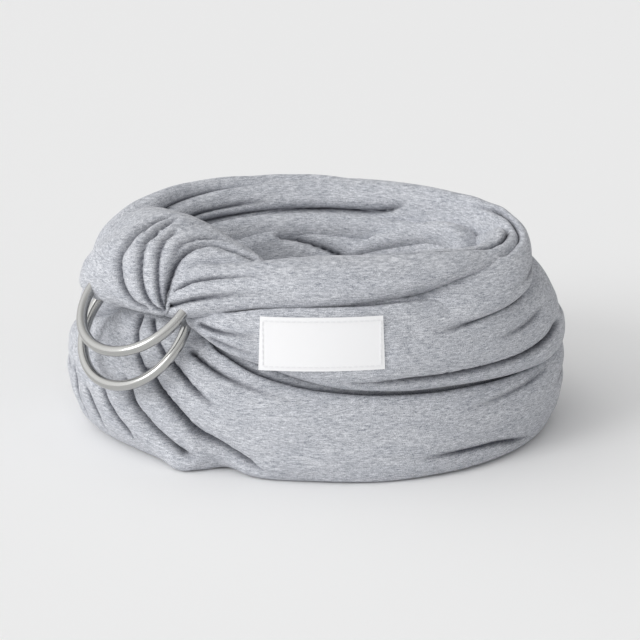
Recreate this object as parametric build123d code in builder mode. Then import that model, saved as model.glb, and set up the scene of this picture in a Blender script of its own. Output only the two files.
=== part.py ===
from build123d import *
from math import asin, cos, degrees, radians, sin
import os

# Ring sling baby carrier, packed for storage: one long jersey panel wound into a low
# oval coil, with its pleated shoulder end folded round two metal rings at the front left.
# Millimetres, +Z up, origin at the middle of the base. Every turn of the coil is a plain
# closed soft solid with the true outer shape and a hair of room to its neighbours.

os.makedirs("parts", exist_ok=True)

# ---- driving dimensions: the coil -----------------------------------------------------
COIL_HALF_LENGTH = 171.0      # along X, at the fattest turn
COIL_HALF_DEPTH = 146.0       # along Y
OVAL = COIL_HALF_DEPTH / COIL_HALF_LENGTH
SOFT_CORNER = 7.5             # rounding of every soft section
GAP = 0.4                     # room between neighbouring soft pieces

# Sections of the turns, as radius on the long axis and height. The lower one reaches a
# little under the floor and is trimmed there, so that the coil stands on a true flat.
BASE_TRIM = 3
LOWER = [(106, -BASE_TRIM), (148, -BASE_TRIM), (167, 14), (169.5, 46), (160, 60), (106, 52)]
MIDDLE = [(106, 52.6), (160, 60.6), (171, 70), (164.5, 111), (155, 113.2), (106, 105)]
UPPER = [(96, 104), (154, 113.6), (161, 124), (144, 133), (114, 139), (96, 131)]
INNER = [(76, 8), (105, 2), (105, 101), (95, 103), (82, 100), (74, 60)]
TAIL = [(77.5, 104), (95, 104.5), (95, 117), (86, 120), (77, 114)]

UPPER_START, UPPER_SWEEP = -108, 266      # the top turn leaves the coil at the left
TAIL_START, TAIL_SWEEP = -8, 62
TAIL_CORNER = 4

# ---- driving dimensions: the rings ----------------------------------------------------
RING_BORE = 76.0              # clear opening of a standard 3 inch sling ring
WIRE_DIAMETER = 7.0
WIRE_RADIUS = WIRE_DIAMETER / 2
RING_RADIUS = (RING_BORE + WIRE_DIAMETER) / 2
CHANNEL_RADIUS = WIRE_RADIUS + 0.35       # the bar runs loose in the fold
SEAM_ANGLE = -12              # butt seam, from the ring's right-hand side
SEAM_DEPTH = 0.25
SEAM_WIDTH = 0.6
SEAM_CLEAR = 1                # how far the groove's cutter stands out of the bar

# The ring station: out points from the coil's middle to the front left, across runs
# level along the rings' upper edge.
STATION_ANGLE = radians(40.5)
OUT = Vector(-sin(STATION_ANGLE), -cos(STATION_ANGLE), 0)
ACROSS = Vector(cos(STATION_ANGLE), -sin(STATION_ANGLE), 0)
UP = Vector(0, 0, 1)

# Each ring's centre as out, across, up, then how many degrees its face is turned up.
BACK_RING = (143.7, -29.9, 89.2, 37.6)
FRONT_RING = (145.2, -25.1, 109.7, 48.6)

# ---- driving dimensions: the fold that holds the rings --------------------------------
# Its root is a soft knuckle about the line on which the fold and its rings lift.
HINGE_OUT, HINGE_UP = 108, 131
KNUCKLE_RADIUS = 18
FOLD_MIDDLE = -26             # along ACROSS
FOLD_HALF_WIDTH = 30
FOLD = [
    (108, 131), (119, 143.5), (152, 117.3), (157.5, 107), (150, 97.5), (127, 104), (121.5, 112.5),
    (112, 114.5),
]
FOLD_CORNER = 2

# Under the rings the cloth is drawn back into a recess, and pleats fan down out of it.
BEYOND = 230                  # farther out, and higher, than any part of the coil
RECESS_LOW, RECESS_HIGH = -79, 26
RECESS = [(121, 46), (BEYOND, 46), (BEYOND, BEYOND), (121, BEYOND)]
RECESS_CORNER = 1
PLEATS = [(121.5, 46.5), (158, 46.5), (160, 56), (131, 93.5), (121.5, 101)]
PLEATS_BULGE = 4              # how far the pleats may stand out of the oval

# The gathered end that leaves the top turn and narrows to the knuckle: for each section
# its x, y, height, the heading it faces in degrees, and its half width and half height.
GATHER = [
    (-118, 40, 127.5, -109.5, 26, 12.5),
    (-111, -6, 132, -106, 36, 17),
    (-87, -62, 132, -125, 30, 16),
]

# ---- driving dimensions: label and stitches -------------------------------------------
LABEL_WIDTH, LABEL_HEIGHT = 79.0, 34.0
LABEL_THICKNESS = 0.9
LABEL_LIFT = 0.3              # from the cloth to the back of the label
LABEL_MIDDLE = 4.5            # along X
LABEL_BOTTOM = 77.0           # height of the lower edge
LABEL_LOW, LABEL_HIGH = MIDDLE[2], MIDDLE[3]   # the face of the turn that it is sewn to
LABEL_LEAN = (LABEL_HIGH[0] - LABEL_LOW[0]) / (LABEL_HIGH[1] - LABEL_LOW[1])
STITCH_LENGTH, STITCH_WIDTH, STITCH_HEIGHT = 2.4, 0.7, 0.5
STITCH_PITCH = 3.5
STITCH_LIFT = 0.05
STITCH_INSET = 2.5            # from the label's edge
FOLD_STITCH_ROWS = (5, 11, 17)            # from the fold's back edge, on its underside
FOLD_STITCH_MARGIN = 4        # left free at each end of a row


def outline(points, corner):
    """Draw a closed outline with rounded corners in the open sketch."""
    Polygon(*points, align=None)
    fillet(vertices(), corner)


def radial_plane(azimuth):
    """Upright plane through the coil's axis: local x is the radius, local y the height."""
    turn = radians(azimuth)
    return Plane(origin=(0, 0, 0), x_dir=(cos(turn), sin(turn), 0), z_dir=(sin(turn), -cos(turn), 0))


def station_point(out, across, up):
    return OUT * out + ACROSS * across + UP * up


def section_plane(across):
    """Upright plane at the station: local x runs out, local y runs up."""
    return Plane(origin=ACROSS * across, x_dir=OUT, z_dir=ACROSS * -1)


def ring_plane(out, across, up, tilt):
    """A ring's own plane: local x runs across, the normal faces out and up."""
    normal = OUT * cos(radians(tilt)) + UP * sin(radians(tilt))
    return Plane(origin=station_point(out, across, up), x_dir=ACROSS, z_dir=normal)


def seam_plane(ring):
    """Plane across the bar at the butt seam, normal along the bar."""
    place = ring_plane(*ring)
    turn = radians(SEAM_ANGLE)
    outward = place.x_dir * cos(turn) + place.y_dir * sin(turn)
    along = place.y_dir * cos(turn) - place.x_dir * sin(turn)
    return Plane(origin=place.origin + outward * RING_RADIUS, x_dir=outward, z_dir=along)


def face_radius(height):
    """Radius of the middle turn's outer face at a height."""
    return LABEL_LOW[0] + LABEL_LEAN * (height - LABEL_LOW[1])


def label_plane(x, height, lift):
    """Plane on the label's face at x from its middle: local x runs along, z out."""
    radius = face_radius(height) + lift
    swing = asin((x + LABEL_MIDDLE) / radius)
    along = Vector(cos(swing), OVAL * sin(swing), 0).normalized()
    upward = Vector(LABEL_LEAN * sin(swing), -OVAL * LABEL_LEAN * cos(swing), 1).normalized()
    point = (radius * sin(swing), -OVAL * radius * cos(swing), height)
    return Plane(origin=point, x_dir=along, z_dir=along.cross(upward))


# ---- the lower turn, flat where it lies on the floor ----------------------------------
with BuildPart() as lower_wrap:
    with BuildSketch(radial_plane(0)):
        outline(LOWER, SOFT_CORNER)
    revolve(axis=Axis.Z)
    scale(by=(1, OVAL, 1))
    with BuildSketch():
        Ellipse(BEYOND, BEYOND * OVAL)
    extrude(amount=-2 * BASE_TRIM, mode=Mode.SUBTRACT)
    with BuildSketch(section_plane(RECESS_HIGH)):
        outline(RECESS, RECESS_CORNER)
    extrude(amount=RECESS_HIGH - RECESS_LOW, mode=Mode.SUBTRACT)
lower_wrap.part.label = "lower_wrap"
export_step(lower_wrap.part, "parts/lower_wrap.step")

# ---- the middle turn, which carries the label ------------------------------------------
with BuildPart() as middle_wrap:
    with BuildSketch(radial_plane(0)):
        outline(MIDDLE, SOFT_CORNER)
    revolve(axis=Axis.Z)
    scale(by=(1, OVAL, 1))
    with BuildSketch(section_plane(RECESS_HIGH)):
        outline(RECESS, RECESS_CORNER)
    extrude(amount=RECESS_HIGH - RECESS_LOW, mode=Mode.SUBTRACT)
middle_wrap.part.label = "middle_wrap"
export_step(middle_wrap.part, "parts/middle_wrap.step")

# ---- the top turn: most of a loop, open at the left where it runs into the gather -------
with BuildPart() as upper_wrap:
    with BuildSketch(radial_plane(UPPER_START)):
        outline(UPPER, SOFT_CORNER)
    revolve(axis=Axis.Z, revolution_arc=UPPER_SWEEP)
    scale(by=(1, OVAL, 1))
upper_wrap.part.label = "upper_wrap"
export_step(upper_wrap.part, "parts/upper_wrap.step")

# ---- the first turn, hidden inside the coil, whose wall lines the well -------------------
with BuildPart() as inner_wrap:
    with BuildSketch(radial_plane(0)):
        outline(INNER, SOFT_CORNER)
    revolve(axis=Axis.Z)
    scale(by=(1, OVAL, 1))
inner_wrap.part.label = "inner_wrap"
export_step(inner_wrap.part, "parts/inner_wrap.step")

# ---- the free end of the panel, tucked down inside the coil ------------------------------
with BuildPart() as tail_end:
    with BuildSketch(radial_plane(TAIL_START)):
        outline(TAIL, TAIL_CORNER)
    revolve(axis=Axis.Z, revolution_arc=TAIL_SWEEP)
    scale(by=(1, OVAL, 1))
tail_end.part.label = "tail_end"
export_step(tail_end.part, "parts/tail_end.step")

# ---- the pleats that pass behind the rings -----------------------------------------------
with BuildPart() as ring_pleats:
    with BuildSketch(section_plane(RECESS_HIGH - GAP)):
        outline(PLEATS, FOLD_CORNER)
    extrude(amount=RECESS_HIGH - RECESS_LOW - 2 * GAP)
    with BuildSketch():
        Ellipse(COIL_HALF_LENGTH + PLEATS_BULGE, COIL_HALF_DEPTH + PLEATS_BULGE)
    extrude(amount=BEYOND, mode=Mode.INTERSECT)
ring_pleats.part.label = "ring_pleats"
export_step(ring_pleats.part, "parts/ring_pleats.step")

# ---- the gathered shoulder end, from the top turn to the knuckle --------------------------
with BuildPart() as shoulder_gather:
    for x, y, height, heading, half_width, half_height in GATHER:
        facing = Vector(cos(radians(heading)), sin(radians(heading)), 0)
        with BuildSketch(Plane(origin=(x, y, height), x_dir=UP.cross(facing), z_dir=facing)):
            Ellipse(half_width, half_height)
    loft(ruled=True)
    with BuildSketch(section_plane(FOLD_MIDDLE)):
        with Locations((HINGE_OUT, HINGE_UP)):
            Circle(KNUCKLE_RADIUS + GAP)
    extrude(amount=2 * FOLD_HALF_WIDTH, both=True, mode=Mode.SUBTRACT)
shoulder_gather.part.label = "shoulder_gather"
export_step(shoulder_gather.part, "parts/shoulder_gather.step")

# ---- the sewn fold round both rings, on its knuckle ----------------------------------------
with BuildPart() as ring_fold:
    with BuildSketch(section_plane(FOLD_MIDDLE)):
        outline(FOLD, FOLD_CORNER)
        with Locations((HINGE_OUT, HINGE_UP)):
            Circle(KNUCKLE_RADIUS)
    extrude(amount=FOLD_HALF_WIDTH, both=True)
    for ring in (BACK_RING, FRONT_RING):
        with Locations(ring_plane(*ring)):
            Torus(RING_RADIUS, CHANNEL_RADIUS, mode=Mode.SUBTRACT)
ring_fold.part.label = "ring_fold"
export_step(ring_fold.part, "parts/ring_fold.step")

# ---- the two rings: round bar, each closed by a butt seam left as a fine groove -------------
with BuildPart() as ring_back:
    with Locations(ring_plane(*BACK_RING)):
        Torus(RING_RADIUS, WIRE_RADIUS)
    with BuildSketch(seam_plane(BACK_RING)):
        Circle(WIRE_RADIUS + SEAM_CLEAR)
        Circle(WIRE_RADIUS - SEAM_DEPTH, mode=Mode.SUBTRACT)
    extrude(amount=SEAM_WIDTH, mode=Mode.SUBTRACT)
ring_back.part.label = "ring_back"
export_step(ring_back.part, "parts/ring_back.step")

with BuildPart() as ring_front:
    with Locations(ring_plane(*FRONT_RING)):
        Torus(RING_RADIUS, WIRE_RADIUS)
    with BuildSketch(seam_plane(FRONT_RING)):
        Circle(WIRE_RADIUS + SEAM_CLEAR)
        Circle(WIRE_RADIUS - SEAM_DEPTH, mode=Mode.SUBTRACT)
    extrude(amount=SEAM_WIDTH, mode=Mode.SUBTRACT)
ring_front.part.label = "ring_front"
export_step(ring_front.part, "parts/ring_front.step")

# ---- the blank woven label, curved with the middle turn --------------------------------------
label_top = LABEL_BOTTOM + LABEL_HEIGHT * cos(LABEL_LEAN)
back_low = face_radius(LABEL_BOTTOM) + LABEL_LIFT
back_high = face_radius(label_top) + LABEL_LIFT
left_swing = degrees(asin((LABEL_MIDDLE - LABEL_WIDTH / 2) / back_low))
right_swing = degrees(asin((LABEL_MIDDLE + LABEL_WIDTH / 2) / back_low))

with BuildPart() as label:
    with BuildSketch(radial_plane(-90 + left_swing)):
        Polygon(
            (back_low, LABEL_BOTTOM),
            (back_low + LABEL_THICKNESS, LABEL_BOTTOM),
            (back_high + LABEL_THICKNESS, label_top),
            (back_high, label_top),
            align=None,
        )
    revolve(axis=Axis.Z, revolution_arc=right_swing - left_swing)
    scale(by=(1, OVAL, 1))
label.part.label = "label"
export_step(label.part, "parts/label.step")

# ---- the label's running stitch, just inside its four edges -----------------------------------
stitch_lift = LABEL_LIFT + LABEL_THICKNESS + STITCH_LIFT
half_row = LABEL_WIDTH / 2 - STITCH_INSET
row_count = int(2 * half_row / STITCH_PITCH)
low_row, high_row = LABEL_BOTTOM + STITCH_INSET, label_top - STITCH_INSET
column_count = int((high_row - low_row) / STITCH_PITCH)

level_stitches = [
    label_plane(half_row * (2 * (i + 0.5) / row_count - 1), height, stitch_lift)
    for height in (low_row, high_row)
    for i in range(row_count)
]
upright_stitches = [
    label_plane(side * half_row, low_row + (high_row - low_row) * (i + 0.5) / column_count, stitch_lift)
    for side in (-1, 1)
    for i in range(column_count)
]

with BuildPart() as label_stitching:
    with BuildSketch(*level_stitches):
        SlotOverall(STITCH_LENGTH, STITCH_WIDTH)
    with BuildSketch(*upright_stitches):
        SlotOverall(STITCH_LENGTH, STITCH_WIDTH, rotation=90)
    extrude(amount=STITCH_HEIGHT)
label_stitching.part.label = "label_stitching"
export_step(label_stitching.part, "parts/label_stitching.step")

# ---- three rows of stitches that close the ring fold, on its underside --------------------------
back_out, back_up = FOLD[5]
front_out, front_up = FOLD[4]
under_back = station_point(back_out, FOLD_MIDDLE, back_up)
under_front = station_point(front_out, FOLD_MIDDLE, front_up)
under_run = (under_front - under_back).normalized()
under_face = ACROSS.cross(under_run)
fold_columns = int(2 * (FOLD_HALF_WIDTH - FOLD_STITCH_MARGIN) / STITCH_PITCH)

fold_stitches = [
    Plane(
        origin=under_back + under_run * row + under_face * STITCH_LIFT
        + ACROSS * (STITCH_PITCH * (i - (fold_columns - 1) / 2)),
        x_dir=ACROSS,
        z_dir=under_face,
    )
    for row in FOLD_STITCH_ROWS
    for i in range(fold_columns)
]

with BuildPart() as fold_stitching:
    with BuildSketch(*fold_stitches):
        SlotOverall(STITCH_LENGTH, STITCH_WIDTH)
    extrude(amount=STITCH_HEIGHT)
fold_stitching.part.label = "fold_stitching"
export_step(fold_stitching.part, "parts/fold_stitching.step")
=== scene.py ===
import math

import bmesh
import bpy
import numpy as np
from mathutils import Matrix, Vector


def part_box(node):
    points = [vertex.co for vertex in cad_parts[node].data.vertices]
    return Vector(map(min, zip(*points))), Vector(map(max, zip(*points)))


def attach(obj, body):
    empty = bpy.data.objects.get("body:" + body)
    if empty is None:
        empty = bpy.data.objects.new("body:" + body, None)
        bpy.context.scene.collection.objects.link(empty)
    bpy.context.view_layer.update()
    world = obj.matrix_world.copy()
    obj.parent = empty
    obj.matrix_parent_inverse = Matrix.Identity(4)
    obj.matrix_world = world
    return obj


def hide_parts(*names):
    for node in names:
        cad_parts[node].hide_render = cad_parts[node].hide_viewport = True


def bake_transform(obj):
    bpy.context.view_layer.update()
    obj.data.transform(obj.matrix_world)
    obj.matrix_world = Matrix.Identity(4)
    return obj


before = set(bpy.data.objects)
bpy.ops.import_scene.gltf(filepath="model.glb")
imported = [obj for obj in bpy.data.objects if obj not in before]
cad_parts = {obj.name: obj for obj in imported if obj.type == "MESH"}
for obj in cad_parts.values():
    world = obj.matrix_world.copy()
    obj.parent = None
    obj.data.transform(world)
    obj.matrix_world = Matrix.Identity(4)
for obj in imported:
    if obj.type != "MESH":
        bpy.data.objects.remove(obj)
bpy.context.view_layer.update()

# A ring sling wound into an oval coil. Stations and sizes below are in millimetres in the
# CAD frame; meshes are made in metres. A place round the coil is an angle in degrees,
# 0 to the right, -90 at the front, 90 at the back, 180 at the left, and a radius that is
# measured on the long axis: the coil is a circle squeezed along Y.

MM = 0.001
turn_low, turn_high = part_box("middle_wrap")
OVAL = (turn_high.y - turn_low.y) / (turn_high.x - turn_low.x)

FRONT_HALF = (-172, 12)       # the angles seen most, where the cloth has its finest columns
LINE_SPOTS = 240              # how many spots a fold line or a section is worked out at
HOOD_LINE_SPOTS = 160         # the same, for a fold line on the hood
SLIT_WIDTH = 2.6              # the narrow line at the bottom of every fold
SLIT_SHARE = 0.5              # its extra depth, as a share of the fold's
BLUNT = 0.2                   # keeps the bottom of a fold from being a knife edge
END_WIDTH = 0.45              # width of a fold at its ends, as a share of its full width
PAINTED_SHADE_SPREAD = 1.8             # how far the painted shade at the bottom of a fold reaches
DARK_DEPTH = 4                # a fold this deep has the full painted shade
RIPPLE = 0.3                  # height of the low wrinkles between the folds
RIPPLE_INSIDE = 0.35          # the same, inside the well
GROUND = 0.3                  # how far the lowest cloth stays above the floor
LABEL_BACK = (170.1, 164.9)   # radius of the label's back at its lower and upper edge
LABEL_GAP = 0.25              # from the label's back to the cloth under it
LABEL_EASE = 9                # how far round the label the cloth eases back


# ---- curves and grids ------------------------------------------------------------------
def cubic(knots, values, at, period=None):
    """Smooth cubic through values at knots, read at the given places. Periodic if told so."""
    x = np.asarray(knots, float)
    y = np.asarray(values, float).reshape(len(x), -1)
    if period:
        x = np.append(x, x[0] + period)
        y = np.vstack([y, y[:1]])
    n, h = len(x), np.diff(x)
    slope = np.diff(y, axis=0) / h[:, None]
    system, right = np.zeros((n, n)), np.zeros_like(y)
    for i in range(1, n - 1):
        system[i, i - 1:i + 2] = h[i - 1], 2 * (h[i - 1] + h[i]), h[i]
        right[i] = 6 * (slope[i] - slope[i - 1])
    if period:
        system[0, 0], system[0, 1] = 2 * (h[0] + h[-1]), h[0]
        system[0, n - 2] = h[-1]
        right[0] = 6 * (slope[0] - slope[-1])
        system[n - 1, 0], system[n - 1, n - 1] = 1, -1
    else:
        system[0, 0] = system[n - 1, n - 1] = 1
    bend = np.linalg.solve(system, right)
    at = np.asarray(at, float)
    if period:
        at = x[0] + np.mod(at - x[0], period)
    i = np.clip(np.searchsorted(x, at, side="right") - 1, 0, n - 2)
    b = ((at - x[i]) / h[i])[:, None]
    a = 1 - b
    hi = h[i][:, None]
    return a * y[i] + b * y[i + 1] + ((a**3 - a) * bend[i] + (b**3 - b) * bend[i + 1]) * hi**2 / 6


def even_loop(points, count, weight):
    """Points spaced round a closed line, more densely where weight is larger."""
    closed = np.vstack([points, points[:1]])
    pace = np.linalg.norm(np.diff(closed, axis=0), axis=1) * weight
    run = np.append(0, np.cumsum(pace))
    want = np.linspace(0, run[-1], count, endpoint=False)
    return np.column_stack([np.interp(want, run, column) for column in closed.T])


def even_out(path, reach=5):
    """Take small steps out of a line of points; its ends stay."""
    padded = np.vstack([path[:1]] * reach + [path] + [path[-1:]] * reach)
    return np.array([padded[k:k + 2 * reach + 1].mean(0) for k in range(len(path))])


def valley(x):
    """Depth of a fold at a distance: two round rolls of cloth that meet in a sharp line."""
    return 1 - np.sqrt(1 - (1 - np.clip(x, 0, 1)) ** 2)


def smooth_step(x):
    """From 0 to 1, level at both ends."""
    x = np.clip(x, 0, 1)
    return x * x * (3 - 2 * x)


def nearest(points, path):
    """For each point, how far the closest spot of a path is, and which spot that is."""
    gap = np.full(len(points), np.inf)
    best = np.zeros(len(points), int)
    for k, spot in enumerate(path):
        distance = np.linalg.norm(points - spot, axis=1)
        closer = distance < gap
        gap[closer], best[closer] = distance[closer], k
    return gap, best


def place(angle, radius, height):
    """Point in the CAD frame, in millimetres, of an angle in degrees, a radius and a height."""
    turn = np.radians(angle)
    return np.stack(np.broadcast_arrays(
        radius * np.cos(turn), OVAL * radius * np.sin(turn), height), axis=-1)


def columns(start, end, front_step, back_step):
    """Angles from start to end, closer together over the front half that is seen most."""
    out, angle = [start], start
    while angle < end:
        wrapped = (angle + 180) % 360 - 180
        angle += front_step if FRONT_HALF[0] < wrapped < FRONT_HALF[1] else back_step
        out.append(min(angle, end))
    return np.array(out)


class Skin:
    """A closed soft surface held as a grid of loops, a ring of them or an open strand."""

    def __init__(self, name, points, ring):
        self.name, self.points, self.ring = name, points, ring
        self.creases = []
        self.painted_fold_shade = np.zeros(points.shape[:2])
        self.find_normals()

    def find_normals(self):
        """Normals of the grid, pointing away from the middle of each loop."""
        p = self.points
        along = np.roll(p, -1, 0) - np.roll(p, 1, 0) if self.ring else np.gradient(p, axis=0)
        across = np.roll(p, -1, 1) - np.roll(p, 1, 1)
        normal = np.cross(along, across)
        normal /= np.linalg.norm(normal, axis=-1, keepdims=True) + 1e-12
        middle = p.mean(axis=1, keepdims=True)
        self.normals = normal if ((p - middle) * normal).sum() > 0 else -normal

    def crease_near(self, spots, depth, width, other=None, fade=(0.2, 0.2)):
        """A fold line through places given in space, each moved onto the nearest cloth.

        The other arguments are those of Band.crease.
        """
        fine = cubic(np.linspace(0, 1, len(spots)), spots, np.linspace(0, 1, HOOD_LINE_SPOTS))
        flat = self.points.reshape(-1, 3)
        path = np.array([flat[np.argmin(((flat - spot) ** 2).sum(1))] for spot in fine])
        self.creases.append((even_out(path), depth, width, other or width, fade))

    def fold(self):
        """Push the surface in along every crease; where creases meet they share one floor."""
        p = self.points.reshape(-1, 3)
        n = self.normals.reshape(-1, 3)
        # depths are added as cubes, so that the deepest fold rules where folds meet
        depth_cubed = np.zeros(len(p))
        painted_fold_shade = np.zeros(len(p))
        for path, depth, width, other, fade in self.creases:
            reach = max(width, other)
            low, high = path.min(0) - reach, path.max(0) + reach
            near = np.flatnonzero(((p > low) & (p < high)).all(1))
            if len(near) == 0:
                continue
            gap, best = nearest(p[near], path)
            side = np.cross(n[near], np.gradient(path, axis=0)[best])
            upper = ((p[near] - path[best]) * side).sum(1) > 0
            share = best / (len(path) - 1)
            strength = smooth_step(share / fade[0]) * smooth_step((1 - share) / fade[1])
            span = np.where(upper, width, other) * (END_WIDTH + (1 - END_WIDTH) * strength)
            gap = np.sqrt(gap**2 + BLUNT**2)
            dip = depth * (valley(gap / span) + SLIT_SHARE * valley(gap / SLIT_WIDTH))
            depth_cubed[near] += (dip * strength) ** 3
            # painted shade: a dark line in the colour along the bottom of the fold, standing in for the
            # shadow deep in the crease
            line = np.exp(-(gap / PAINTED_SHADE_SPREAD) ** 2) * strength * min(1, depth / DARK_DEPTH)
            painted_fold_shade[near] = np.maximum(painted_fold_shade[near], line)
        self.points = (p - n * np.cbrt(depth_cubed)[:, None]).reshape(self.points.shape)
        self.painted_fold_shade = painted_fold_shade.reshape(self.painted_fold_shade.shape)
        self.find_normals()

    def ripple(self, amount, seed, waves=18, long_wave=70.0, short_wave=16.0):
        """Low random wrinkles that run along the strand: a sum of slanted waves."""
        any_phase, usual_sum = 6.3, 4.2
        r = np.random.default_rng(seed)
        p = self.points
        middle = p.mean(axis=1)
        run = np.append(0, np.cumsum(np.linalg.norm(np.diff(middle, axis=0), axis=1)))
        length = run[-1] + (np.linalg.norm(middle[0] - middle[-1]) if self.ring else 0)
        phase = (run / length * 2 * math.pi)[:, None]
        cross = np.cumsum(np.linalg.norm(np.roll(p, -1, 1) - p, axis=-1), axis=1)
        around = cross[:, -1].mean()
        lift = np.zeros(cross.shape)
        for _ in range(waves):
            crosswise = max(1, round(around / (short_wave * r.uniform(0.7, 2.2))))
            lengthwise = max(1, round(length / (long_wave * r.uniform(0.6, 2.5))))
            warp = 0.8 * np.sin(phase * r.integers(2, 6) + r.uniform(0, any_phase))
            slant = r.choice([-1, 1]) * phase * lengthwise
            lift += np.sin(cross / around * 2 * math.pi * crosswise + slant
                           + warp + r.uniform(0, any_phase))
        self.points = p + self.normals * (amount * lift / usual_sum)[..., None]
        self.find_normals()

    def finish(self, seed, ripple=RIPPLE, floor=None):
        """Fold and ripple the surface, and make its mesh."""
        self.fold()
        self.ripple(ripple, seed)
        return self.build(floor)

    def build(self, floor=None):
        """The mesh object, with the painted shade of its folds stored on its points."""
        if floor is not None:
            self.points[..., 2] = np.maximum(self.points[..., 2], floor)
        piece = grid_mesh(self.name, self.points, self.ring)
        values = np.append(self.painted_fold_shade.ravel(), np.zeros(len(piece.data.vertices) - self.painted_fold_shade.size))
        piece.data.attributes.new("painted_fold_shade", "FLOAT", "POINT").data.foreach_set("value", values)
        return piece


class Band(Skin):
    """A soft closed strand that follows the coil, with a section given at a few angles."""

    def __init__(self, name, stations, rows, ring=False, front_step=0.45, back_step=1.1):
        angles = sorted(stations)
        sections = np.array([stations[angle] for angle in angles], float)
        if ring:
            self.angles = columns(angles[0], angles[0] + 360, front_step, back_step)[:-1]
        else:
            self.angles = columns(angles[0], angles[-1], front_step, back_step)
        flat = cubic(angles, sections.reshape(len(angles), -1), self.angles, 360 if ring else None)
        control = flat.reshape(len(self.angles), -1, 2)
        corners = control.shape[1]
        fine = np.linspace(0, corners, LINE_SPOTS, endpoint=False)
        loops = cubic(range(corners), control.transpose(1, 0, 2).reshape(corners, -1), fine, corners)
        loops = loops.reshape(len(fine), len(self.angles), 2).transpose(1, 0, 2)
        # rows lie closer together on the outer side, which is seen, than on the inner side
        density = 0.6 + 1.4 * smooth_step((loops[0][:, 0] - 116) / 20)
        self.section = np.array([even_loop(loop, rows, density) for loop in loops])
        radius, height = self.section[..., 0], self.section[..., 1]
        super().__init__(name, place(self.angles[:, None], radius, height), ring)

    def on_face(self, angle, value, face):
        """Point at an angle: the outermost or innermost at a height, or the top at a radius."""
        if self.ring:
            angle = self.angles[0] + (angle - self.angles[0]) % 360
        i = int(np.clip(np.searchsorted(self.angles, angle), 0, len(self.angles) - 1))
        loop, radius = self.points[i], self.section[i][:, 0]
        key = radius if face == "top" else loop[:, 2]
        rank = {"out": radius, "in": -radius, "top": loop[:, 2]}[face]
        after = np.roll(key, -1)
        crossing = np.flatnonzero((key - value) * (after - value) <= 0)
        if len(crossing) == 0:
            return loop[np.argmin(abs(key - value) - 0.001 * rank)]
        best = crossing[np.argmax(rank[crossing])]
        share = (value - key[best]) / (after[best] - key[best] + 1e-9)
        return loop[best] * (1 - share) + loop[(best + 1) % len(loop)] * share

    def crease(self, line, depth, width, face="out", fade=(0.2, 0.2), other=None):
        """A fold line given as angle and height, or as angle and radius for the top face.

        depth and width are in millimetres, other is the width on the line's other side, and
        fade is the share of the line over which the fold comes and goes at its two ends.
        """
        fine = cubic(np.linspace(0, 1, len(line)), line, np.linspace(0, 1, LINE_SPOTS))
        path = np.array([self.on_face(angle, value, face) for angle, value in fine])
        self.creases.append((even_out(path), depth, width, other or width, fade))


def grid_mesh(name, points, ring):
    """A closed mesh from a grid of loops: a ring, or a strand with both ends capped."""
    cols, rows, _ = points.shape
    verts = points.reshape(-1, 3) * MM
    i = np.arange(cols if ring else cols - 1)
    j = np.arange(rows)
    a, b = np.meshgrid(i, j, indexing="ij")
    c, d = (a + 1) % cols, (b + 1) % rows
    quads = np.stack([a * rows + b, c * rows + b, c * rows + d, a * rows + d], -1).reshape(-1, 4)
    faces = quads.tolist()
    if not ring:
        first, last = len(verts), len(verts) + 1
        verts = np.vstack([verts, points[0].mean(0) * MM, points[-1].mean(0) * MM])
        tail = (cols - 1) * rows
        faces += [(first, k, (k + 1) % rows) for k in range(rows)]
        faces += [(last, tail + (k + 1) % rows, tail + k) for k in range(rows)]
    mesh = bpy.data.meshes.new(name)
    mesh.from_pydata(verts.tolist(), [], faces)
    mesh.validate()
    piece = bpy.data.objects.new(name, mesh)
    bpy.context.scene.collection.objects.link(piece)
    if volume(mesh) < 0:
        mesh.flip_normals()
    mesh.polygons.foreach_set("use_smooth", [True] * len(mesh.polygons))
    return piece


def volume(mesh):
    """Volume of a closed mesh, negative where its faces look inwards."""
    solid = bmesh.new()
    solid.from_mesh(mesh)
    result = solid.calc_volume(signed=True)
    solid.free()
    return result


def pleat(name, spots, centre, rows=56, steps=150, end_steps=6, square=2.5):
    """A soft flat strand through a few spots: x, y, z, half width, half thickness.

    Its flat side faces away from centre. The larger square is, the squarer its section.
    """
    spots = np.array(spots, float)
    knots = np.append(0, np.cumsum(np.linalg.norm(np.diff(spots[:, :3], axis=0), axis=1)))
    line = cubic(knots, spots, np.linspace(0, knots[-1], steps))
    path, half_width, half_thick = line[:, :3], line[:, 3], line[:, 4]
    tangent = np.gradient(path, axis=0)
    tangent /= np.linalg.norm(tangent, axis=1, keepdims=True)
    outward = path - np.array(centre)
    outward -= (outward * tangent).sum(1, keepdims=True) * tangent
    outward /= np.linalg.norm(outward, axis=1, keepdims=True)
    side = np.cross(tangent, outward)
    turn = np.linspace(0, 2 * math.pi, rows, endpoint=False)
    across, up = (np.sign(wave) * abs(wave) ** (2 / square) for wave in (np.cos(turn), np.sin(turn)))
    from_end = np.minimum(np.arange(steps), np.arange(steps)[::-1])
    cap = np.sqrt(np.clip(1 - np.clip(1 - from_end / end_steps, 0, 1) ** 2, 0.02, 1))
    points = (path[:, None]
              + side[:, None] * (across * (half_width * cap)[:, None])[..., None]
              + outward[:, None] * (up * (half_thick * cap)[:, None])[..., None])
    return grid_mesh(name, points, ring=False)


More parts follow.
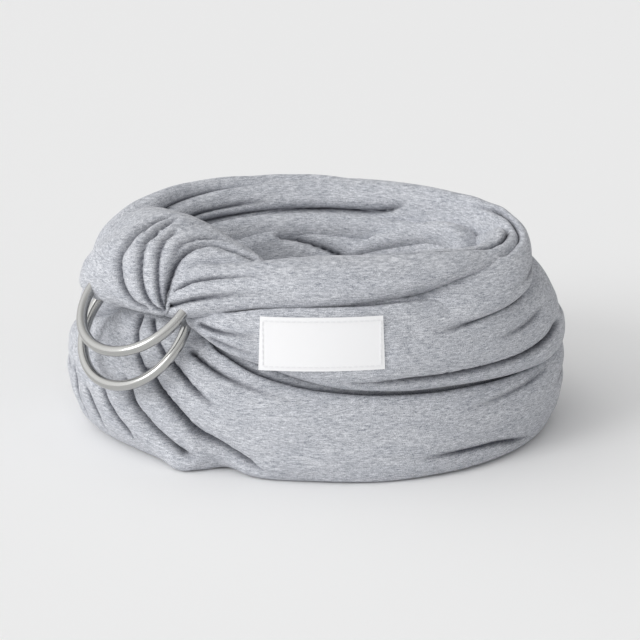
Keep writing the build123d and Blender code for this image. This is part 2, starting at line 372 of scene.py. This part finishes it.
# ---- the turns of the coil ---------------------------------------------------------------
# Each table gives the section of a turn at a few angles. A section has eight points, radius
# and height: inner foot, underside, outer foot, outer face, outer shoulder, top, inner
# shoulder, inner face.
LOWER_PLAIN = [(106, 6), (134, .6), (161, 4), (169.5, 29), (163, 55), (142, 64), (112, 60), (102, 33)]
LOWER = {
    -180: [(106, 6), (132, .6), (157, 5), (169, 34), (166.5, 62), (144, 72), (112, 66), (102, 34)],
    -160: [(106, 6), (132, .6), (157, 5), (170, 34), (164, 66), (142, 84), (112, 78), (102, 36)],
    -138: [(106, 6), (132, .6), (156, 5), (170.5, 38), (160.5, 76), (141, 101), (114, 100), (102, 40)],
    -126: [(106, 6), (138, .6), (163, 4), (168.5, 34), (163, 70), (147, 91), (118, 88), (102, 39)],
    -120: [(106, 6), (140, .6), (166, 3.5), (167.5, 32), (162.5, 66), (146, 86), (118, 82), (102, 38)],
    -114.5: [(106, 6), (133, .6), (152.5, 4.5), (167.5, 32), (163.5, 64), (146.5, 83), (117, 79),
             (102, 37)],
    -107: [(106, 6), (136, .6), (158.5, 4), (169.5, 31), (164, 60), (146, 77), (115, 72), (102, 35)],
    -95: [(106, 6), (140, .6), (165, 3.2), (171.5, 29), (163, 56), (143, 68), (112, 63), (102, 33)],
    -72: [(106, 6), (146, .6), (171.5, 3), (173.5, 25), (164, 50), (142, 61), (112, 58), (102, 33)],
    -45: [(106, 6), (142, .6), (168, 3.4), (172, 26), (165, 49), (142, 59), (112, 56), (102, 33)],
    -20: [(106, 6), (136, .6), (163, 4.5), (171, 29), (167, 52), (142, 61), (112, 58), (102, 33)],
    0: [(106, 6), (132, .6), (160, 6), (170.5, 34), (167, 58), (142, 66), (112, 61), (102, 33)],
    60: LOWER_PLAIN,
    120: LOWER_PLAIN,
}
MIDDLE = {
    -180: [(104, 74), (133, 68), (151, 69), (160, 80), (154, 94), (141, 106), (120, 106), (100, 90)],
    -162: [(104, 84), (124, 78), (141, 80), (149, 89), (143, 99), (133, 106), (120, 106), (101, 96)],
    -148: [(106, 92), (116, 88), (126, 90), (133, 98), (130, 106), (122, 110), (112, 109), (102, 102)],
    -130: [(108, 96), (118, 92), (134, 92), (143, 98), (139, 105), (130, 110), (116, 109), (104, 103)],
    -121: [(112, 98), (132, 93), (148, 93), (156, 98), (154, 104), (145, 108), (128, 108), (112, 104)],
    -111: [(108, 92), (135, 86), (158, 84), (167.5, 95), (163.5, 105), (153, 113), (125, 110), (105, 100)],
    -101: [(105, 82), (135, 76), (159, 75), (169.5, 90), (165, 104), (154, 115), (122, 112), (101, 96)],
    -85: [(104, 74), (135, 65), (160, 63), (170.5, 80), (166, 101), (154.5, 116.5), (120, 112), (100, 92)],
    -50: [(104, 66), (135, 57), (162, 57), (171.5, 72), (166.5, 92), (151, 112), (120, 110), (100, 90)],
    -20: [(104, 62), (135, 54), (164, 54), (172, 68), (166, 88), (151, 106), (120, 106), (100, 88)],
    5: [(104, 64), (135, 57), (163, 58), (170.5, 70), (163.5, 87), (150, 107), (124, 107), (100, 86)],
    60: [(104, 64), (135, 57), (162, 58), (169.5, 74), (165.5, 92), (152, 108), (122, 108), (100, 86)],
    120: [(104, 64), (135, 57), (162, 58), (169.5, 75), (165.5, 94), (152, 109), (122, 108), (100, 86)],
}
RIM = {
    -84: [(124, 96), (134, 93), (143, 94), (149, 99), (146, 106), (138, 110), (129, 108), (123, 102)],
    -66: [(124, 98), (140, 93), (153, 94), (159.5, 99), (154.5, 108), (144, 115), (131, 113), (123, 106)],
    -54: [(123, 102), (141, 95), (157, 96), (164, 102), (157.5, 113), (145.5, 121), (131, 118), (121, 110)],
    -43: [(121, 106), (141, 98), (157, 99), (164.5, 106), (157, 118), (144, 126), (130, 122), (119, 114)],
    -30: [(119, 108), (140, 102), (154, 103.5), (161, 111), (154, 123), (140, 131), (127, 128), (117, 118)],
    -15: [(128, 110), (138, 105), (147, 108), (151, 115.5), (148, 127), (141, 133), (133, 130), (127, 120)],
    3: [(123, 110), (133, 105), (141, 109), (145.5, 117.5), (143.5, 128.5), (136, 136.5), (128, 134),
        (122, 122)],
    22: [(118, 110), (132, 104), (142.5, 107), (146.5, 116.5), (143.5, 128.5), (133, 138), (123.5, 134),
         (117, 122)],
    45: [(112, 110), (132, 104), (144, 106), (149.5, 115), (146, 128), (131, 138.5), (117, 134),
         (110, 122)],
    90: [(111, 110), (132, 104), (150, 105), (155, 117), (149, 129), (131, 138.5), (114, 133), (106, 123)],
    112: [(111, 110), (132, 104), (149, 105), (153, 116), (146, 127), (127, 136), (113, 131), (106, 121)],
    135: [(109, 110), (132, 104), (147, 105), (151, 115), (143, 125), (124, 133), (112, 129), (106, 119)],
    165: [(108, 108), (130, 103), (144, 104), (148, 112), (140, 121), (124, 128), (112, 125), (107, 116)],
    200: [(112, 104), (128, 101), (138, 102), (143, 108), (137, 115), (127, 119), (116, 117), (110, 111)],
}
BACK_ROLL = {
    62: [(134, 122), (138, 119), (143, 120), (146, 125), (143, 130), (138, 132), (134, 130), (132, 126)],
    84: [(131, 117), (140, 112), (150, 114), (155.5, 121), (152, 131.5), (143, 138), (135, 135),
         (130, 126)],
    105: [(128, 116), (139, 110), (151, 112), (156.5, 121), (152.5, 133), (142, 140), (132, 136),
          (127, 126)],
    130: [(124, 114), (138, 108), (151, 110), (156, 120), (151.5, 133), (139.5, 141), (128, 137),
          (122, 125)],
    150: [(117, 112), (134, 107), (149, 108), (154, 118), (148, 132), (133, 140), (121, 136), (114, 123)],
    172: [(112, 110), (130, 106), (147, 107), (152, 115), (145, 128), (130, 135), (117, 131), (110, 119)],
    196: [(110, 108), (128, 105), (143, 106), (148, 112), (141, 121), (128, 126), (115, 123), (108, 114)],
    212: [(114, 108), (126, 106), (136, 107), (139, 111), (135, 116), (126, 119), (117, 117), (112, 112)],
}
FRONT_ROLL = {
    -130: [(134, 100), (142, 98), (151, 100), (155, 106), (152, 111), (145, 115), (137, 114), (132, 107)],
    -125: [(126, 103), (141, 100), (158, 101.5), (164, 107), (161.5, 116), (151, 126), (136, 129),
           (124, 115)],
    -120: [(117, 106), (137, 102), (161, 104), (168.5, 111), (163.5, 122), (149, 132), (131, 133),
           (114, 120)],
    -114: [(108, 109), (132, 104), (158.5, 107), (164.5, 116), (157.5, 127), (141, 134), (120, 132),
           (105, 119)],
    -105: [(102, 111), (129, 106), (153, 111), (158.5, 120), (152, 131), (133, 137), (111, 133), (97, 121)],
    -90: [(98, 112), (128, 107), (151.5, 112.5), (157, 122), (149, 133), (125, 139), (101, 134), (91, 122)],
    -70: [(98, 113), (128, 109), (148, 115.5), (154, 124.5), (146, 134), (124, 138.5), (102, 134),
          (92, 123)],
    -48: [(100, 114), (125, 111), (142, 120), (148.5, 127), (141.5, 134), (125, 137.5), (106, 133),
          (95, 123)],
    -26: [(110, 112), (124, 110), (136, 118), (141.5, 125.5), (137, 131.5), (126, 133), (115, 128.5),
          (108, 120)],
    -9: [(114, 112), (124, 110), (133, 116), (138, 124), (136, 131), (128, 134), (119, 130), (113, 121)],
    4: [(113, 108), (121, 106), (129, 111), (133, 119), (131, 127), (124.5, 130), (117, 125), (112, 116)],
    20: [(101, 99), (111, 97), (119, 100), (122, 106), (118, 112), (110, 114), (102, 110), (98, 104)],
    36: [(96, 99), (108, 97), (116, 101), (119, 107), (114, 113), (105, 115.5), (96, 112), (91, 105.5)],
    62: [(96, 101), (107, 99), (115, 103), (118, 109), (113, 115), (103, 118), (95, 115), (92, 108)],
    90: [(95, 101), (105, 99), (113, 103), (116, 109), (111, 116), (102, 119), (94, 116), (91, 108.5)],
    130: [(95, 100), (106, 98), (114, 102), (117, 108), (112, 115), (102, 118), (94, 114.5), (91, 107)],
    170: [(96, 96), (107, 94), (115, 99), (118, 105), (113, 110), (105, 113), (97, 109), (92, 102)],
}
INNER_PLAIN = [(88, 3), (104, 6), (112, 45), (110, 90), (98, 103), (86, 97), (79, 66), (80, 20)]
INNER = {
    **dict.fromkeys((-180, -120, -60, 152), INNER_PLAIN),
    -10: [(89, 3), (104, 6), (112, 45), (112, 96), (101, 110), (88, 105), (80, 68), (81, 20)],
    30: [(88, 3), (104, 6), (112, 45), (112, 98), (100, 112), (86, 106), (79, 68), (80, 20)],
    72: [(86, 3), (104, 6), (112, 45), (110, 92), (97, 104), (83, 97), (75, 66), (77, 20)],
    104: [(88, 3), (104, 6), (112, 45), (110, 96), (97, 110), (84, 103), (77, 64), (80, 20)],
    124: [(88, 3), (104, 6), (112, 45), (110, 94), (96, 107), (83, 100), (77, 64), (80, 20)],
}


def make_lower():
    """The lowest turn, flat on the floor, with the fan of pleats below the rings."""
    band = Band("lower_wrap_cloth", LOWER, rows=170, ring=True)
    # the fan of pleats below the rings, from right to left
    band.crease([(-122, 82), (-117, 75), (-111, 68), (-102, 60), (-88, 50)], 8, 17, fade=(.08, .7), other=9)
    band.crease([(-126, 76), (-122, 65), (-117, 55), (-109, 45)], 7, 10, fade=(.08, .5), other=8)
    band.crease([(-133, 68), (-128, 54), (-122, 38), (-116, 25), (-108, 13), (-99, 5)], 12, 19,
                fade=(.08, .2), other=8)
    band.crease([(-138, 60), (-136, 42), (-131, 27), (-125, 17), (-117, 10)], 14, 17,
                fade=(.12, .12), other=9)
    band.crease([(-146, 54), (-144, 38), (-140, 22), (-136, 11)], 5, 14, fade=(.3, .2), other=8)
    band.crease([(-154, 44), (-151, 28), (-148, 12)], 4, 12, fade=(.3, .3), other=8)
    band.crease([(-162, 54), (-161, 32), (-157, 11)], 4, 12, fade=(.3, .3), other=8)
    # the cloth seen inside the rings
    band.crease([(-141, 97), (-139, 86), (-136, 74), (-133, 66), (-131, 58)], 5.5, 10,
                fade=(.05, .2), other=7)
    band.crease([(-136, 96), (-132, 87), (-128, 78), (-125, 71)], 5, 9, fade=(.05, .1), other=7)
    # low folds at the front
    band.crease([(-71, 13), (-63, 15), (-54, 15), (-46, 14), (-38, 10), (-30, 9)], 4.5, 13,
                fade=(.4, .3), other=7)
    band.crease([(-60, 40), (-45, 44), (-30, 48), (-18, 52)], 2.5, 14, fade=(.5, .4), other=10)
    # the groove under the middle turn
    band.crease([(-119, 87), (-112, 80), (-104, 71), (-96, 65), (-88, 61), (-72, 57), (-50, 55), (-30, 55),
                 (-12, 57), (4, 60), (20, 61)], 6, 8, fade=(.04, .2), other=6)
    # round the sides and the back
    band.crease([(-22, 34), (-5, 40), (14, 36), (30, 28)], 4.5, 16, fade=(.4, .4), other=9)
    band.crease([(25, 12), (48, 20), (74, 28), (100, 30), (120, 26)], 5, 16, fade=(.3, .3), other=10)
    band.crease([(96, 46), (120, 44), (144, 36), (166, 22), (180, 12)], 5.5, 16, fade=(.3, .3), other=10)
    band.crease([(150, 58), (168, 52), (184, 46), (200, 42)], 4.5, 14, fade=(.3, .4), other=9)
    return band.finish(seed=3, floor=GROUND)


def make_middle():
    """The middle turn, which carries the label."""
    band = Band("middle_wrap_cloth", MIDDLE, rows=140, ring=True)
    # the deep fold that runs on from the label's lower edge round the right side
    band.crease([(-90, 67), (-68, 65), (-50, 66), (-36, 68), (-24, 72), (-12, 78)], 9, 14,
                fade=(.25, .1), other=6)
    band.crease([(-12, 79), (10, 78), (35, 74), (60, 72)], 5, 12, fade=(.1, .6), other=8)
    # soft folds beside the label
    band.crease([(-66, 96), (-57, 97), (-47, 101), (-38, 103), (-31, 105), (-22, 108)], 5, 11,
                fade=(.4, .1))
    band.crease([(-50, 84), (-40, 86), (-31, 89), (-22, 94)], 2.5, 12, fade=(.5, .3), other=8)
    # round the back
    band.crease([(40, 92), (62, 88), (90, 84), (118, 86), (140, 92)], 6, 13, fade=(.3, .3), other=9)
    band.crease([(120, 74), (140, 76), (160, 82), (175, 88)], 5, 12, fade=(.3, .2), other=8)
    # short folds that leave the pinch
    band.crease([(-118, 101), (-113, 99), (-106, 98), (-98, 96)], 3.5, 9, fade=(.05, .7), other=7)
    band.crease([(-115, 93), (-108, 88), (-99, 84)], 2.5, 8, fade=(.1, .7), other=6)
    # the groove under the front roll
    band.crease([(-117, 108), (-108, 113), (-98, 115.5), (-85, 116.5), (-70, 116), (-56, 113.5)], 5, 6,
                fade=(.1, .3), other=5)
    band.fold()
    band.ripple(RIPPLE, seed=5)
    seat_label(band)
    return band.build()


def seat_label(band):
    """Let the cloth under the label lie just behind it, and ease back round its edges."""
    low, high = (np.array(corner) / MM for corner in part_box("label"))
    p = band.points
    beyond = np.maximum(np.maximum(low[0] - p[..., 0], p[..., 0] - high[0]),
                        np.maximum(low[2] - p[..., 2], p[..., 2] - high[2]))
    # how far up the label a point is, carried on a little past both edges
    share = np.clip((p[..., 2] - low[2]) / (high[2] - low[2]), -0.4, 1.4)
    radius = np.hypot(p[..., 0], p[..., 1] / OVAL)
    back = LABEL_BACK[0] * (1 - share) + LABEL_BACK[1] * share - LABEL_GAP
    ease = 1 - smooth_step(beyond / LABEL_EASE)
    excess = np.clip(radius - back, 0, None) * ease * (p[..., 1] < 0)
    shrink = 1 - excess / radius
    p[..., 0] *= shrink
    p[..., 1] *= shrink
    band.find_normals()


def make_rim():
    """The top turn, from the front right round the back to the left."""
    band = Band("upper_wrap_rim", RIM, rows=104)
    band.crease([(150, 122), (138, 126), (128, 127), (116, 128), (104, 127)], 6, 10, face="in",
                fade=(.1, .4))
    band.crease([(-40, 112), (-22, 117), (0, 121), (24, 122)], 3, 10, fade=(.4, .4))
    band.crease([(176, 116), (156, 118), (134, 120), (110, 120.5), (88, 120), (70, 120.5), (60, 124),
                 (52, 131)], 10, 9, face="in", fade=(.1, .2), other=7)
    band.crease([(-34, 143), (-22, 141), (-11, 138), (-2, 134.5), (8, 130.5), (18, 126.5), (32, 121)],
                10, 8, face="top", fade=(.1, .35), other=6)
    band.crease([(20, 120), (48, 119), (74, 118), (98, 120)], 4, 10, fade=(.3, .4))
    return band.finish(seed=7)


def make_back_roll():
    """A second roll that lies on the rim at the back and the left."""
    band = Band("upper_wrap_back", BACK_ROLL, rows=84)
    band.crease([(92, 124), (116, 121), (140, 120), (160, 116)], 4.5, 10, fade=(.3, .3))
    band.crease([(196, 118), (172, 128), (150, 133), (125, 134.5), (104, 133)], 4, 9, face="in",
                fade=(.2, .4))
    return band.finish(seed=9)


def make_front_roll():
    """The roll over the front, from the pinch to the well's right side."""
    band = Band("upper_wrap_front", FRONT_ROLL, rows=110)
    band.crease([(-127, 113), (-123, 124), (-117, 130), (-109, 132.5), (-98, 134)], 5, 9,
                fade=(.15, .5), other=8)
    band.crease([(-127, 108), (-122, 114), (-116, 119), (-108, 122), (-96, 124)], 5, 8,
                fade=(.02, .6), other=7)
    band.crease([(-74, 116), (-58, 121), (-40, 127), (-24, 131), (-8, 131), (4, 128)], 5, 8, face="top",
                fade=(.35, .1), other=7)
    return band.finish(seed=13)


def make_inner():
    """The first turn, whose wall lines the well."""
    band = Band("inner_wrap_cloth", INNER, rows=130, ring=True, front_step=0.9, back_step=0.6)
    band.crease([(110, 108), (101, 106), (91, 102), (81, 96), (72, 89), (63, 80)], 11, 14, face="in",
                fade=(.15, .25), other=8)
    band.crease([(60, 88), (40, 82), (20, 80), (0, 80)], 5, 12, face="in", fade=(.3, .3))
    band.crease([(140, 92), (126, 88), (112, 80), (98, 70)], 5, 11, face="in", fade=(.2, .3))
    band.crease([(-170, 70), (-130, 64), (-90, 66), (-50, 60)], 5, 13, face="in", fade=(.2, .3))
    band.crease([(120, 40), (80, 36), (40, 42), (0, 38)], 5, 14, face="in", fade=(.3, .3))
    return band.finish(seed=17, ripple=RIPPLE_INSIDE, floor=GROUND)


def make_tail():
    """The free end of the panel, folded over and tucked into the well at the inner right."""
    return pleat("tail_end_cloth", [
        (24, 72, 92, 8, 4), (48, 69, 101, 12, 7), (72, 58, 109, 14, 9), (92, 40, 114, 14, 10.5),
        (101, 20, 114, 12, 10), (102, 2, 108, 9, 7), (98, -12, 100, 6, 5),
    ], centre=(60, 20, 20))


# The gathered end, from where it leaves the back rolls to where it is tucked through the
# rings: left edge, ridge and right edge of the middle of the cloth, then half thickness.
HOOD = [
    ((-129, 62, 108), (-113, 60, 116), (-99, 60, 108), 5),
    ((-134, 42, 116), (-112, 38, 127), (-92, 36, 121), 7.5),
    ((-141, 22, 117), (-114, 16, 132), (-86, 14, 127), 9),
    ((-150, -6, 112), (-109, -18, 137), (-70, -18, 132), 9),
    ((-153, -24, 109), (-106, -45, 139), (-54, -50, 133), 9),
    ((-154, -36, 107), (-110, -64, 137.5), (-30, -90, 129), 8.5),
    ((-154, -45, 105), (-115, -76, 133), (-57, -96, 131), 8.5),
    ((-152, -53, 104), (-118, -84, 125), (-77, -102, 125.5), 8),
    ((-148, -59, 103), (-120, -89, 115), (-89, -112, 115), 7.5),
    ((-142, -62, 101), (-119, -89, 107), (-93, -117, 107), 6),
    ((-133, -58, 99), (-112, -80, 103), (-94, -103, 103), 4.5),
]


def make_hood():
    """The gathered end: one soft sheet that arches over the rings, creased to the pinch."""
    steps, rows, fine_steps, end_steps = 190, 150, 400, 6
    stations = np.array([np.append(np.ravel(edges), thick) for *edges, thick in HOOD])
    fine = cubic(range(len(HOOD)), stations, np.linspace(0, len(HOOD) - 1, fine_steps))
    run = np.append(0, np.cumsum(np.linalg.norm(np.diff(fine[:, 3:6], axis=0), axis=1)))
    even = np.linspace(0, run[-1], steps)
    line = np.column_stack([np.interp(even, run, column) for column in fine.T])
    left, ridge, right, thick = line[:, 0:3], line[:, 3:6], line[:, 6:9], line[:, 9]
    turn = np.linspace(0, 2 * math.pi, rows, endpoint=False)
    u = (0.5 - 0.5 * np.cos(turn))[None, :, None]
    # a curve through left edge, ridge and right edge, as u goes from 0 to 1 and back
    arch = (left[:, None] * (1 - u) * (1 - 2 * u) + ridge[:, None] * 4 * u * (1 - u)
            + right[:, None] * u * (2 * u - 1))
    along = np.gradient(arch, axis=0)
    slope = (left[:, None] * (4 * u - 3) + ridge[:, None] * (4 - 8 * u) + right[:, None] * (4 * u - 1))
    normal = np.cross(slope, along)
    normal /= np.linalg.norm(normal, axis=-1, keepdims=True)
    if normal[:, 1:rows // 2, 2].mean() < 0:
        normal = -normal
    from_end = np.minimum(np.arange(steps), np.arange(steps)[::-1])
    cap = np.sqrt(1 - (1 - np.clip((from_end + 0.5) / end_steps, 0, 1)) ** 2)
    lift = np.sign(np.sin(turn)) * abs(np.sin(turn)) ** 0.8
    points = arch + normal * (lift[None] * (thick * cap)[:, None])[..., None]
    skin = Skin("shoulder_gather_cloth", points, ring=False)
    skin.crease_near([(-91, -28, 146), (-102, -36, 146), (-111, -50, 145), (-118, -64, 141), (-124, -76, 134),
                      (-125, -86, 124), (-120, -95, 113), (-112, -103, 106), (-103, -110, 103)],
                     7, 14, other=8, fade=(.12, .06))
    skin.crease_near([(-88, -34, 148), (-97, -52, 148), (-106, -70, 145), (-111, -86, 137), (-112, -99, 126),
                      (-109, -109, 115), (-103, -116, 107), (-97, -120, 103)],
                     5.5, 10, other=8, fade=(.15, .05))
    skin.crease_near([(-80, -42, 148), (-89, -60, 149), (-96, -78, 146), (-100, -94, 137), (-100, -108, 123),
                      (-97, -116, 112), (-94, -120, 106)],
                     4, 7, other=6, fade=(.4, .08))
    skin.crease_near([(-34, -90, 139), (-46, -88, 142), (-60, -84, 144), (-72, -86, 144), (-84, -94, 139),
                      (-91, -104, 131), (-94, -113, 119), (-94, -119, 109)],
                     7, 9, other=8, fade=(.03, .05))
    skin.crease_near([(-50, -74, 143), (-64, -74, 145), (-78, -80, 145), (-88, -90, 139), (-94, -101, 128)],
                     3, 6, other=5, fade=(.3, .3))
    skin.crease_near([(-152, -40, 108), (-147, -54, 106), (-139, -68, 103), (-130, -80, 101)], 3, 6,
                     fade=(.3, .4))
    skin.crease_near([(-150, -46, 104), (-144, -59, 102), (-136, -70, 100)], 2.5, 5, fade=(.3, .4))
    return skin.finish(seed=21)


# ---- materials ---------------------------------------------------------------------------
DARK_FIBRE, PALE_FIBRE = (0.155, 0.17, 0.205), (0.84, 0.85, 0.885)
CLOUD_SHADE = (0.84, 0.85, 0.87)
# colour of the painted shade along the bottom of the folds
FOLD_SHADE = (0.12, 0.125, 0.15)
ALUMINIUM = (0.47, 0.47, 0.46)
LABEL_WHITE = (0.88, 0.88, 0.89)
WHITE_THREAD = (LABEL_WHITE, (0.78, 0.78, 0.80))
GREY_THREAD = ((0.42, 0.43, 0.46), (0.26, 0.27, 0.30))
FLOOR_WHITE = (0.92, 0.92, 0.92)


def set_inputs(node, **values):
    """Set a node's inputs by name, with _ for a space. A colour may leave out its alpha."""
    for name, value in values.items():
        socket = node.inputs[name.replace("_", " ")]
        socket.default_value = (*value, 1) if socket.type == "RGBA" else value


def new_material(name):
    material = bpy.data.materials.new(name)
    material.use_nodes = True
    tree = material.node_tree
    tree.nodes.clear()
    output = tree.nodes.new("ShaderNodeOutputMaterial")
    shader = tree.nodes.new("ShaderNodeBsdfPrincipled")
    tree.links.new(shader.outputs["BSDF"], output.inputs["Surface"])
    return material, tree, shader


def texture(tree, kind, stretch=None, **values):
    """A texture in the object's own coordinates, stretched if told so."""
    where = tree.nodes.new("ShaderNodeTexCoord").outputs["Object"]
    if stretch:
        mapping = tree.nodes.new("ShaderNodeMapping")
        mapping.inputs["Scale"].default_value = stretch
        tree.links.new(where, mapping.inputs["Vector"])
        where = mapping.outputs["Vector"]
    node = tree.nodes.new(kind)
    set_inputs(node, **values)
    tree.links.new(where, node.inputs["Vector"])
    return node


def relief(tree, shader, height, strength, distance):
    """Raise the surface a little where height is larger. distance is in metres."""
    bump = tree.nodes.new("ShaderNodeBump")
    set_inputs(bump, Strength=strength, Distance=distance)
    tree.links.new(height, bump.inputs["Height"])
    tree.links.new(bump.outputs["Normal"], shader.inputs["Normal"])


def jersey():
    """Heather jersey: pale and dark fibres mixed, drawn out in short streaks round the coil."""
    material, tree, shader = new_material("heather_jersey")
    nodes, link = tree.nodes, tree.links.new

    def noise(stretch, size, detail, rough):
        grain = texture(tree, "ShaderNodeTexNoise", stretch, Scale=size, Detail=detail, Roughness=rough)
        return grain.outputs["Fac"]

    def weigh(a, share_a, b, share_b):
        part_b = nodes.new("ShaderNodeMath")
        part_b.operation = "MULTIPLY"
        part_b.inputs[1].default_value = share_b
        link(b, part_b.inputs[0])
        total = nodes.new("ShaderNodeMath")
        total.operation = "MULTIPLY_ADD"
        total.inputs[1].default_value = share_a
        link(a, total.inputs[0])
        link(part_b.outputs["Value"], total.inputs[2])
        return total.outputs["Value"]

    def ramp(value, *stops):
        tones = nodes.new("ShaderNodeValToRGB")
        for element, (position, colour) in zip(tones.color_ramp.elements, stops):
            element.position = position
            element.color = (*colour, 1)
        link(value, tones.inputs["Fac"])
        return tones.outputs["Color"]

    def multiply(colour):
        mix = nodes.new("ShaderNodeMixRGB")
        mix.blend_type = "MULTIPLY"
        link(colour, mix.inputs["Color1"])
        return mix

    fleck = noise((1, 1, 1.4), 1500, 3, 0.85)
    streak = noise((0.30, 0.30, 1.9), 760, 2, 0.6)
    cloud = noise((0.6, 0.6, 2.2), 55, 3, 0.6)
    fibres = weigh(fleck, 0.66, streak, 0.34)
    clouded = multiply(ramp(fibres, (0.36, DARK_FIBRE), (0.64, PALE_FIBRE)))
    set_inputs(clouded, Fac=0.6)
    link(ramp(cloud, (0.36, CLOUD_SHADE), (0.62, (1, 1, 1))), clouded.inputs["Color2"])
    # painted shade: the colour is darkened towards FOLD_SHADE along the bottom of every fold, standing in for
    # the shadow in the crease
    fold = nodes.new("ShaderNodeAttribute")
    fold.attribute_name = "painted_fold_shade"
    shaded = multiply(clouded.outputs["Color"])
    set_inputs(shaded, Color2=FOLD_SHADE)
    link(fold.outputs["Fac"], shaded.inputs["Fac"])
    link(shaded.outputs["Color"], shader.inputs["Base Color"])
    set_inputs(shader, Roughness=0.93, Specular_IOR_Level=0.15, Sheen_Weight=0.12, Sheen_Roughness=0.5)
    relief(tree, shader, fibres, 0.25, 0.0004)
    return material


def satin_metal():
    """Anodised aluminium with a slightly uneven polish."""
    material, tree, shader = new_material("satin_aluminium")
    grain = texture(tree, "ShaderNodeTexNoise", Scale=900, Detail=2)
    polish = tree.nodes.new("ShaderNodeMapRange")
    set_inputs(polish, To_Min=0.13, To_Max=0.20)
    tree.links.new(grain.outputs["Fac"], polish.inputs["Value"])
    tree.links.new(polish.outputs["Result"], shader.inputs["Roughness"])
    set_inputs(shader, Base_Color=ALUMINIUM, Metallic=1)
    return material


def label_cloth():
    """White label tape with a fine crosswise weave."""
    material, tree, shader = new_material("woven_label")
    weave = texture(tree, "ShaderNodeTexWave", Scale=900)
    weave.bands_direction = "Z"
    relief(tree, shader, weave.outputs["Fac"], 0.15, 0.0002)
    set_inputs(shader, Base_Color=LABEL_WHITE, Roughness=0.8)
    return material


def sewing_thread(name, pale, dark):
    """Twisted thread: two tones in fine slanted bands, with a low twist in relief."""
    material, tree, shader = new_material(name)
    twist = texture(tree, "ShaderNodeTexWave", Scale=1400, Distortion=1.5)
    twist.bands_direction = "DIAGONAL"
    tone = tree.nodes.new("ShaderNodeMixRGB")
    set_inputs(tone, Color1=dark, Color2=pale)
    tree.links.new(twist.outputs["Fac"], tone.inputs["Fac"])
    tree.links.new(tone.outputs["Color"], shader.inputs["Base Color"])
    relief(tree, shader, twist.outputs["Fac"], 0.3, 0.0001)
    set_inputs(shader, Roughness=0.7)
    return material


def give(piece, material):
    piece.data.materials.clear()
    piece.data.materials.append(material)


# ---- camera, floor and light ---------------------------------------------------------------
CAMERA_ELEVATION = 17                                     # degrees
CAMERA_DISTANCE = 1.6                                     # metres
CAMERA_AIM = (3.4, 0, 66)
CAMERA_LENS, SENSOR_WIDTH = 131.2, 36
FLOOR_REACH = 8                                           # metres
FROM_LEFT, FROM_FRONT, FROM_ABOVE = 1.16, 0.62, 0.60      # how strongly the room shines
KEY_STRENGTH, KEY_SPREAD = 0.85, 26                       # the spread is in degrees
KEY_DIRECTION = (0.80, 0.62, -0.52)


def make_camera():
    """A long lens, low in front of the coil."""
    elevation, target = math.radians(CAMERA_ELEVATION), Vector(CAMERA_AIM) * MM
    data = bpy.data.cameras.new("camera")
    data.sensor_width = SENSOR_WIDTH
    data.lens = CAMERA_LENS
    camera = bpy.data.objects.new("camera", data)
    bpy.context.scene.collection.objects.link(camera)
    toward_camera = Vector((0, -math.cos(elevation), math.sin(elevation)))
    camera.location = target + CAMERA_DISTANCE * toward_camera
    camera.rotation_euler = (target - camera.location).to_track_quat("-Z", "Y").to_euler()
    bpy.context.scene.camera = camera


def make_floor():
    """A wide matt white floor."""
    mesh = bpy.data.meshes.new("floor")
    corners = [(x * FLOOR_REACH, y * FLOOR_REACH, 0) for x, y in ((-1, -1), (1, -1), (1, 1), (-1, 1))]
    mesh.from_pydata(corners, [], [(0, 1, 2, 3)])
    floor = bpy.data.objects.new("floor", mesh)
    bpy.context.scene.collection.objects.link(floor)
    material, tree, shader = new_material("floor_paper")
    set_inputs(shader, Base_Color=FLOOR_WHITE, Roughness=0.9)
    give(floor, material)


def make_lights():
    """A room that shines from the left, the front and above, and a soft key light."""
    world = bpy.data.worlds.new("studio")
    world.use_nodes = True
    nodes, link = world.node_tree.nodes, world.node_tree.links.new

    def vector_step(operation, value, constant):
        step = nodes.new("ShaderNodeVectorMath")
        step.operation = operation
        step.inputs[1].default_value = constant
        link(value, step.inputs[0])
        return step.outputs

    where = nodes.new("ShaderNodeTexCoord").outputs["Generated"]
    toward = vector_step("MULTIPLY", where, (-1, -1, 1))["Vector"]
    facing = vector_step("MAXIMUM", toward, (0, 0, 0))["Vector"]
    glow = vector_step("DOT_PRODUCT", facing, (FROM_LEFT, FROM_FRONT, FROM_ABOVE))["Value"]
    link(glow, nodes["Background"].inputs["Color"])
    bpy.context.scene.world = world

    data = bpy.data.lights.new("key", "SUN")
    data.energy = KEY_STRENGTH
    data.angle = math.radians(KEY_SPREAD)
    key = bpy.data.objects.new("key", data)
    bpy.context.scene.collection.objects.link(key)
    key.rotation_euler = Vector(KEY_DIRECTION).to_track_quat("-Z", "Y").to_euler()
    bpy.context.scene.view_settings.view_transform = "Standard"


# ---- the whole sling -----------------------------------------------------------------------
# Each maker of a cloth piece, with the CAD nodes that the piece stands for.
CLOTH = (
    (make_lower, "lower_wrap", "ring_pleats"),
    (make_middle, "middle_wrap"),
    (make_rim, "upper_wrap"),
    (make_back_roll,),
    (make_front_roll,),
    (make_inner, "inner_wrap"),
    (make_tail, "tail_end"),
    (make_hood, "shoulder_gather", "ring_fold"),
)


def make_cloth():
    """All the cloth: every piece but the hood stays with the coil; the hood is left unattached."""
    cloth = jersey()
    for make, *stands_for in CLOTH:
        piece = make()
        give(piece, cloth)
        if stands_for:
            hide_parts(*stands_for)
        if make is make_hood:
            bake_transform(piece)
        else:
            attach(piece, "coil")


def finish_hardware():
    """Materials for the rings, the label and the stitches, which are shown as they are."""
    metal = satin_metal()
    finishes = {
        "ring_back": metal,
        "ring_front": metal,
        "label": label_cloth(),
        "label_stitching": sewing_thread("white_thread", *WHITE_THREAD),
        "fold_stitching": sewing_thread("grey_thread", *GREY_THREAD),
    }
    for node, material in finishes.items():
        give(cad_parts[node], material)


make_camera()
make_floor()
make_lights()
make_cloth()
finish_hardware()
